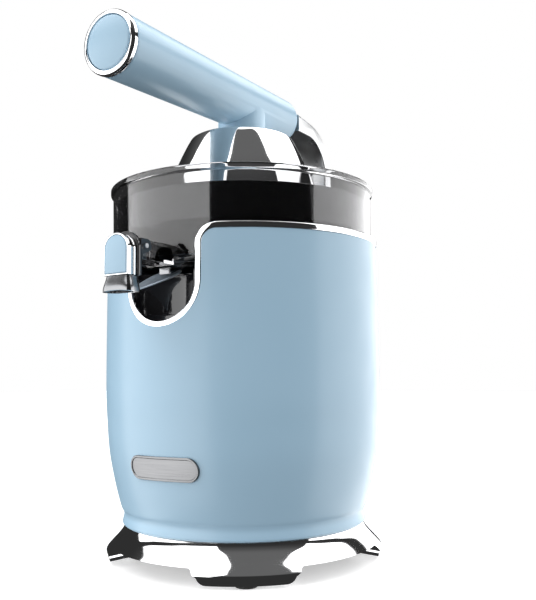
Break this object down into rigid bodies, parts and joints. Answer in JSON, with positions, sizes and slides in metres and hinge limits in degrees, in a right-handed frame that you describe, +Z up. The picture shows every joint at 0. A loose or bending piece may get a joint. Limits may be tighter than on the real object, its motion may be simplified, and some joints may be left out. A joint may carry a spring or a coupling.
{
  "type": "citrus press juicer",
  "caption": "Electric lever citrus press: painted round housing on a bright footed base, smoked juice bowl with strainer, tilting spout, and a hinged press arm with dome and tube handle.",
  "frame": {"origin": "on the surface it stands on, below the middle of the model's box", "axes": "+Z up, -Y towards the spout and the handle's end, +X to the right seen from the front"},
  "size_m": [0.1946, 0.2652, 0.3456],
  "materials": {
    "blue_paint": "satin pastel blue enamel",
    "chrome": "polished chrome plate",
    "dark_chrome": "dark polished chrome plate",
    "brushed_badge": "fine brushed with a bright raised border",
    "smoked_plastic": "clear smoked grey",
    "black_plastic": "glossy black moulding",
    "grey_plastic": "matt grey moulding",
    "white_plastic": "matt off-white moulding",
    "rubber": "matt black",
    "steel": "turned bright steel",
    "cast_metal": "as cast",
    "brass": "machined",
    "copper": "enamelled copper wire"
  },
  "bodies": {
    "root": {"body_shell": "blue_paint", "body_trim": "chrome", "badge_plate": "brushed_badge", "base_ring": "chrome", "foot_pad_1": "rubber", "foot_pad_2": "rubber", "foot_pad_3": "rubber", "foot_pad_4": "rubber", "bottom_cover": "black_plastic", "base_screw_1": "steel", "base_screw_2": "steel", "base_screw_3": "steel", "cord_gland": "black_plastic", "motor_deck": "black_plastic", "spout_basin": "black_plastic", "juice_bowl": "smoked_plastic", "strainer": "black_plastic", "stator": "steel", "motor_windings": "copper", "bearing_lower": "steel", "bearing_upper": "steel", "motor_bracket_lower": "cast_metal", "motor_bracket_upper": "cast_metal", "gearbox_plate": "cast_metal", "frame_post_1": "steel", "frame_post_2": "steel", "frame_post_3": "steel", "lay_shaft": "steel", "output_bush": "brass", "shaft_seal": "rubber", "return_spring": "steel", "start_switch": "black_plastic", "hinge_bracket": "chrome", "hinge_pin": "steel", "hinge_cap_left": "chrome", "hinge_cap_right": "chrome", "spout_pin": "steel", "drip_lip": "dark_chrome"},
    "lever": {"lever_arm": "chrome", "arm_screw": "steel", "handle_tube": "blue_paint", "handle_end_ring": "chrome", "handle_end_cap": "blue_paint", "dome_neck": "chrome", "press_dome": "chrome", "dome_liner": "grey_plastic", "dome_screw": "steel"},
    "spout": {"spout_hood": "black_plastic", "spout_frame": "chrome", "spout_plate": "blue_paint", "spout_nozzle": "dark_chrome"},
    "motor": {"rotor": "steel", "motor_shaft": "steel", "motor_pinion": "brass", "cooling_fan": "white_plastic"},
    "lay": {"lay_gear": "white_plastic"},
    "output": {"output_gear": "white_plastic"},
    "press": {"drive_shaft": "steel", "reamer_cone": "black_plastic"},
    "plunger": {"switch_plunger": "white_plastic"}
  },
  "joints": [
    {"name": "lever_hinge", "type": "hinge", "parent": "root", "child": "lever", "pos_m": [0, 0.1216, 0.226], "axis": [-1, 0, 0], "range_deg": [0, 72]},
    {"name": "spout_tilt", "type": "hinge", "parent": "root", "child": "spout", "pos_m": [0, -0.1077, 0.203], "axis": [-1, 0, 0], "range_deg": [0, 25]},
    {"name": "motor_spin", "type": "hinge", "parent": "root", "child": "motor", "pos_m": [0, 0.0128, 0.06], "axis": [0, 0, 1], "continuous": true},
    {"name": "lay_spin", "type": "hinge", "parent": "root", "child": "lay", "pos_m": [0.0375, 0.0128, 0.115], "axis": [0, 0, 1], "continuous": true},
    {"name": "gear_spin", "type": "hinge", "parent": "root", "child": "output", "pos_m": [0, 0.0128, 0.124], "axis": [0, 0, 1], "continuous": true},
    {"name": "press_slide", "type": "slide", "parent": "output", "child": "press", "axis": [0, 0, -1], "range_m": [0, 0.0025], "stiffness_N_per_m": 3000, "springref_m": -0.001, "deforming": ["return_spring"]},
    {"name": "switch_press", "type": "slide", "parent": "root", "child": "plunger", "axis": [0, 0, -1], "range_m": [0, 0.0025]}
  ],
  "couplings": [
    {"joint": "lay_spin", "follows": "motor_spin", "ratio": -0.25},
    {"joint": "gear_spin", "follows": "motor_spin", "ratio": 0.10714},
    {"joint": "switch_press", "follows": "press_slide", "ratio": 1}
  ]
}
